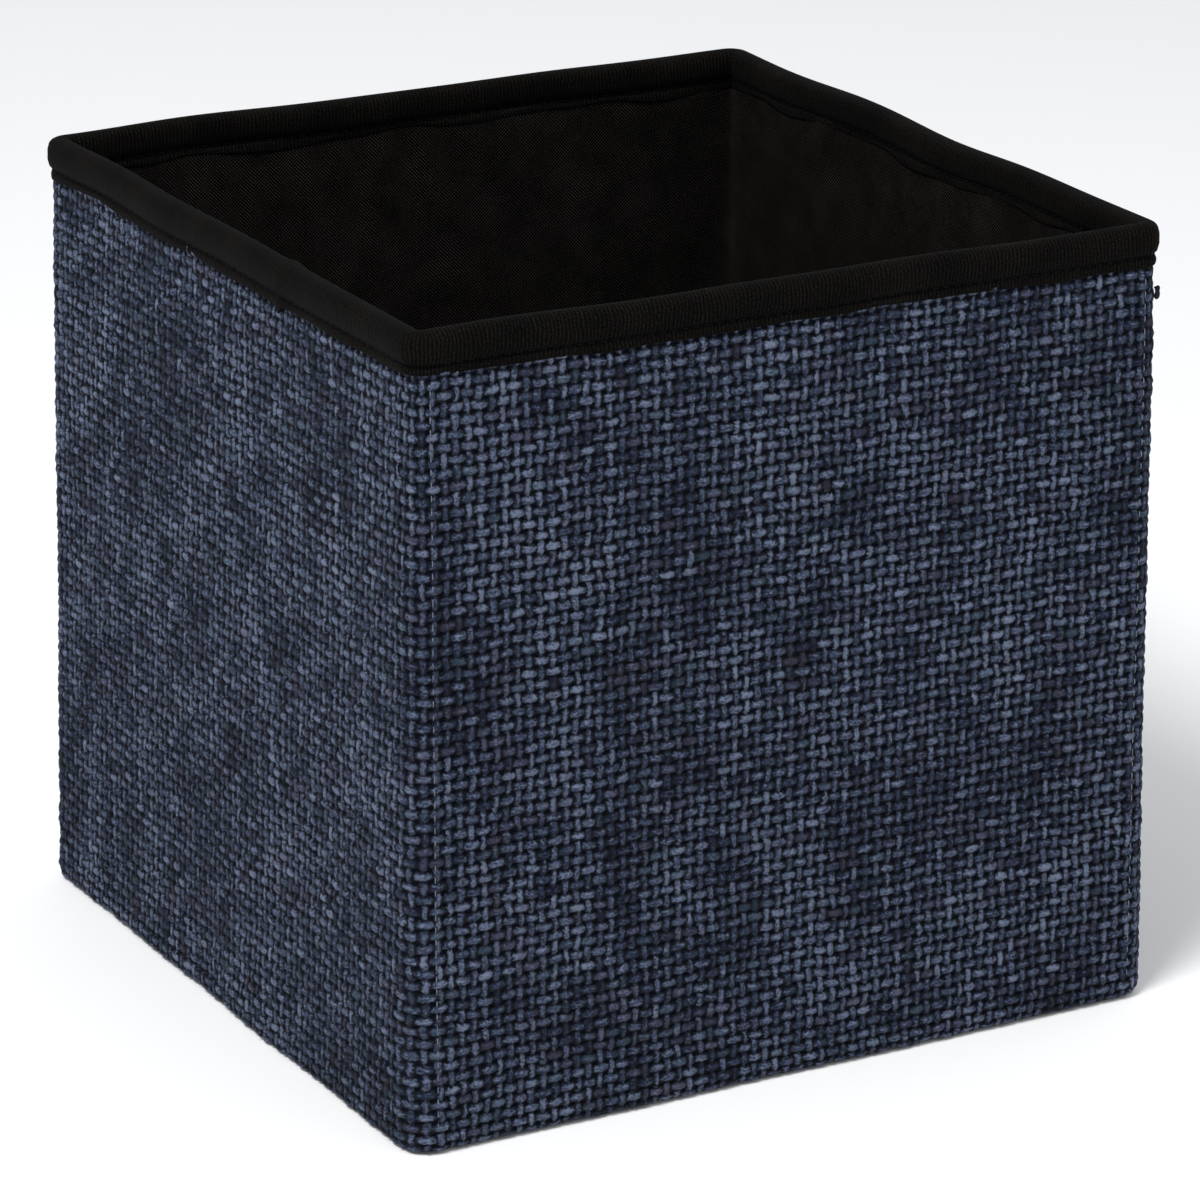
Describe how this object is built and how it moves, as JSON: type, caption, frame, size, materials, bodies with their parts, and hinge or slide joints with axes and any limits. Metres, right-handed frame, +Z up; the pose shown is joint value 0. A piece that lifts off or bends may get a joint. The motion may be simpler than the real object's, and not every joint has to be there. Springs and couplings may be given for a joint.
{
  "type": "storage bin",
  "caption": "Open-topped square fabric storage bin with board-stiffened folding walls, knit-bound rim and loose base insert.",
  "frame": {"origin": "centre of the underside, on the surface the bin stands on", "axes": "+Z up, front wall towards -Y, side walls towards -X and +X"},
  "size_m": [0.312, 0.31, 0.3],
  "materials": {
    "outer_fabric": "matte",
    "lining": "matte",
    "board": "matte",
    "binding": "matte",
    "thread": "matte",
    "seam_thread": "matte",
    "insert_cover": "matte"
  },
  "bodies": {
    "front_wall": {"front_outer_fabric": "outer_fabric", "front_stiffener": "board", "front_lining": "lining", "front_binding": "binding", "front_rim_thread": "thread", "front_left_seam_thread": "seam_thread", "front_right_seam_thread": "seam_thread", "bottom_outer_fabric": "outer_fabric", "bottom_lining": "lining"},
    "right_front_half": {"right_front_outer_fabric": "outer_fabric", "right_front_stiffener": "board", "right_front_lining": "lining", "right_front_binding": "binding", "right_front_rim_thread": "thread"},
    "right_back_half": {"right_back_outer_fabric": "outer_fabric", "right_back_stiffener": "board", "right_back_lining": "lining", "right_back_binding": "binding", "right_back_rim_thread": "thread"},
    "back_wall": {"back_outer_fabric": "outer_fabric", "back_stiffener": "board", "back_lining": "lining", "back_binding": "binding", "back_rim_thread": "thread", "back_right_seam_thread": "seam_thread", "back_left_seam_thread": "seam_thread"},
    "left_back_half": {"left_back_outer_fabric": "outer_fabric", "left_back_stiffener": "board", "left_back_lining": "lining", "left_back_binding": "binding", "left_back_rim_thread": "thread"},
    "left_front_half": {"left_front_outer_fabric": "outer_fabric", "left_front_stiffener": "board", "left_front_lining": "lining", "left_front_binding": "binding", "left_front_rim_thread": "thread", "binding_tail": "binding"},
    "base_insert": {"insert_board": "board", "insert_cover": "insert_cover"}
  },
  "joints": [
    {"name": "left_front_fold", "type": "hinge", "parent": "front_wall", "child": "left_front_half", "pos_m": [-0.1434, -0.1424, 0], "axis": [0, 0, -1], "range_deg": [0, 88]},
    {"name": "left_crease", "type": "hinge", "parent": "left_front_half", "child": "left_back_half", "pos_m": [-0.1564, 0, 0], "axis": [0, 0, 1], "range_deg": [0, 176]},
    {"name": "left_back_fold", "type": "hinge", "parent": "left_back_half", "child": "back_wall", "pos_m": [-0.1434, 0.1424, 0], "axis": [0, 0, -1], "range_deg": [0, 88]},
    {"name": "right_front_fold", "type": "hinge", "parent": "front_wall", "child": "right_front_half", "pos_m": [0.1434, -0.1424, 0], "axis": [0, 0, 1], "range_deg": [0, 88]},
    {"name": "right_crease", "type": "hinge", "parent": "right_front_half", "child": "right_back_half", "pos_m": [0.1564, 0, 0], "axis": [0, 0, -1], "range_deg": [0, 176]},
    {"name": "insert_lift", "type": "slide", "parent": "front_wall", "child": "base_insert", "axis": [0, 0, 1], "range_m": [0, 0.32]}
  ],
  "couplings": [
    {"joint": "left_crease", "follows": "left_front_fold", "ratio": 2},
    {"joint": "left_back_fold", "follows": "left_front_fold", "ratio": 1},
    {"joint": "right_front_fold", "follows": "left_front_fold", "ratio": 1},
    {"joint": "right_crease", "follows": "left_front_fold", "ratio": 2}
  ]
}
